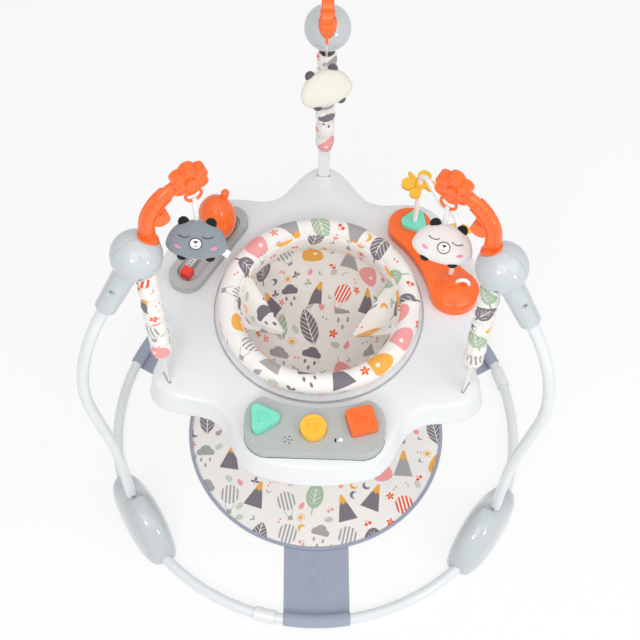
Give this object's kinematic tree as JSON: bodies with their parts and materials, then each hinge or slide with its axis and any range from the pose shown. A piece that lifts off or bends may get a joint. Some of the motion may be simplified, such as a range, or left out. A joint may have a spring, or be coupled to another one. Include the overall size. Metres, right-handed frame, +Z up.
{
  "type": "baby jumper",
  "caption": "Free-standing baby jumper: ring base with floor mat, bowed poles, sprung activity tray with a swivel seat, push buttons, sliding car and hanging soft toys.",
  "frame": {"origin": "on the floor, under the centre of the base ring", "axes": "+Z up; the front, with the sound panel, faces -Y; +X is to the right seen from the front"},
  "size_m": [0.8199, 0.8386, 0.9886],
  "materials": {
    "tube": "satin off-white lacquer",
    "pale_grey": "gloss",
    "rubber": "matte",
    "steel": "zinc plated",
    "print_cloth": "printed woven cloth",
    "webbing": "woven webbing",
    "lilac_cloth": "plain woven cloth",
    "orange": "gloss",
    "cream_plush": "short pile",
    "grey_plush": "short pile",
    "pale_plush": "short pile",
    "tray_white": "gloss",
    "panel_grey": "satin",
    "board": "matte",
    "black": "matte",
    "mint": "gloss",
    "yellow": "gloss",
    "white": "gloss",
    "red": "gloss"
  },
  "bodies": {
    "frame": {"base_tubes_long": "tube", "base_tubes_short": "tube", "base_couplers": "pale_grey", "foot_pod_rear": "pale_grey", "foot_pod_left": "pale_grey", "foot_pod_right": "pale_grey", "foot_covers": "pale_grey", "foot_pads": "rubber", "pole_rear": "tube", "pole_left": "tube", "pole_right": "tube", "dome_shell_rear": "pale_grey", "dome_shell_left": "pale_grey", "dome_shell_right": "pale_grey", "dome_covers": "pale_grey", "frame_screws": "steel", "spring_pins": "steel", "springs": "steel", "spring_sleeves": "print_cloth", "toy_arm_rear": "orange", "toy_arm_left": "orange", "toy_arm_right": "orange", "floor_mat": "print_cloth", "mat_binding": "lilac_cloth", "mat_straps": "lilac_cloth"},
    "tray": {"tray_top": "tray_white", "tray_underside": "tray_white", "tray_screws": "steel", "seat_track": "tray_white", "spring_straps": "webbing", "panel_case": "panel_grey", "panel_base": "panel_grey", "battery_door": "panel_grey", "circuit_board": "board", "speaker": "black", "car_track": "panel_grey", "track_rim": "panel_grey", "track_stop": "red", "bead_base": "orange", "bead_plinth": "mint", "bead_bar": "white"},
    "seat": {"seat_ring": "tray_white", "seat_retainer": "tray_white", "seat_rim_pad": "print_cloth", "seat_sling": "print_cloth"},
    "button_triangle": {"button_triangle": "mint"},
    "button_round": {"button_round": "yellow"},
    "button_square": {"button_square": "orange"},
    "power_switch": {"power_switch": "white"},
    "car": {"car_body": "orange"},
    "car_wheels_front": {"car_wheels_front": "rubber"},
    "car_wheels_rear": {"car_wheels_rear": "rubber"},
    "butterfly": {"butterfly": "yellow"},
    "rainbow": {"rainbow": "yellow"},
    "toy_rear": {"soft_toy_rear": "cream_plush"},
    "snap_rear": {"snap_button_rear": "steel"},
    "toy_left": {"soft_toy_left": "grey_plush"},
    "snap_left": {"snap_button_left": "steel"},
    "toy_right": {"soft_toy_right": "pale_plush"},
    "snap_right": {"snap_button_right": "steel"}
  },
  "joints": [
    {"name": "tray_bounce", "type": "slide", "parent": "frame", "child": "tray", "axis": [0, 0, 1], "range_m": [-0.09, 0.02], "stiffness_N_per_m": 1400, "springref_m": 0.0239, "deforming": ["springs", "spring_sleeves"]},
    {"name": "seat_swivel", "type": "hinge", "parent": "tray", "child": "seat", "pos_m": [0, 0, 0.473], "axis": [0, 0, 1], "continuous": true},
    {"name": "triangle_press", "type": "slide", "parent": "tray", "child": "button_triangle", "axis": [0, 0, 1], "range_m": [-0.003, 0], "stiffness_N_per_m": 400, "springref_m": 0.002},
    {"name": "round_press", "type": "slide", "parent": "tray", "child": "button_round", "axis": [0, 0, 1], "range_m": [-0.003, 0], "stiffness_N_per_m": 400, "springref_m": 0.002},
    {"name": "square_press", "type": "slide", "parent": "tray", "child": "button_square", "axis": [0, 0, 1], "range_m": [-0.003, 0], "stiffness_N_per_m": 400, "springref_m": 0.002},
    {"name": "switch_slide", "type": "slide", "parent": "tray", "child": "power_switch", "axis": [1, 0, 0], "range_m": [-0.006, 0]},
    {"name": "car_slide", "type": "slide", "parent": "tray", "child": "car", "axis": [-0.5, -0.866, 0], "range_m": [-0.005, 0.05]},
    {"name": "wheels_front_spin", "type": "hinge", "parent": "car", "child": "car_wheels_front", "pos_m": [-0.18986, 0.12116, 0.4954], "axis": [-0.866, 0.5, 0], "continuous": true},
    {"name": "wheels_rear_spin", "type": "hinge", "parent": "car", "child": "car_wheels_rear", "pos_m": [-0.16986, 0.1558, 0.4954], "axis": [-0.866, 0.5, 0], "continuous": true},
    {"name": "butterfly_spin", "type": "hinge", "parent": "tray", "child": "butterfly", "pos_m": [0.16282, 0.17599, 0.599], "axis": [0, 0, 1], "continuous": true},
    {"name": "rainbow_spin", "type": "hinge", "parent": "tray", "child": "rainbow", "pos_m": [0.2238, 0.07037, 0.599], "axis": [0, 0, 1], "continuous": true},
    {"name": "toy_rear_swing", "type": "hinge", "parent": "frame", "child": "toy_rear", "pos_m": [0, 0.19614, 0.91238], "axis": [0, 1, 0], "range_deg": [-25, 25]},
    {"name": "toy_left_swing", "type": "hinge", "parent": "frame", "child": "toy_left", "pos_m": [-0.16986, -0.09807, 0.91238], "axis": [-0.866, -0.5, 0], "range_deg": [-25, 25]},
    {"name": "toy_right_swing", "type": "hinge", "parent": "frame", "child": "toy_right", "pos_m": [0.16986, -0.09807, 0.91238], "axis": [0.866, -0.5, 0], "range_deg": [-25, 25]},
    {"name": "snap_rear_press", "type": "slide", "parent": "frame", "child": "snap_rear", "axis": [-1, 0, 0], "range_m": [-0.003, 0], "stiffness_N_per_m": 800, "springref_m": 0.001},
    {"name": "snap_left_press", "type": "slide", "parent": "frame", "child": "snap_left", "axis": [0.5, -0.866, 0], "range_m": [-0.003, 0], "stiffness_N_per_m": 800, "springref_m": 0.001},
    {"name": "snap_right_press", "type": "slide", "parent": "frame", "child": "snap_right", "axis": [-0.5, -0.866, 0], "range_m": [-0.003, 0], "stiffness_N_per_m": 800, "springref_m": 0.001}
  ],
  "couplings": [
    {"joint": "wheels_front_spin", "follows": "car_slide", "rad_per_m": -71.429},
    {"joint": "wheels_rear_spin", "follows": "car_slide", "rad_per_m": -71.429}
  ]
}
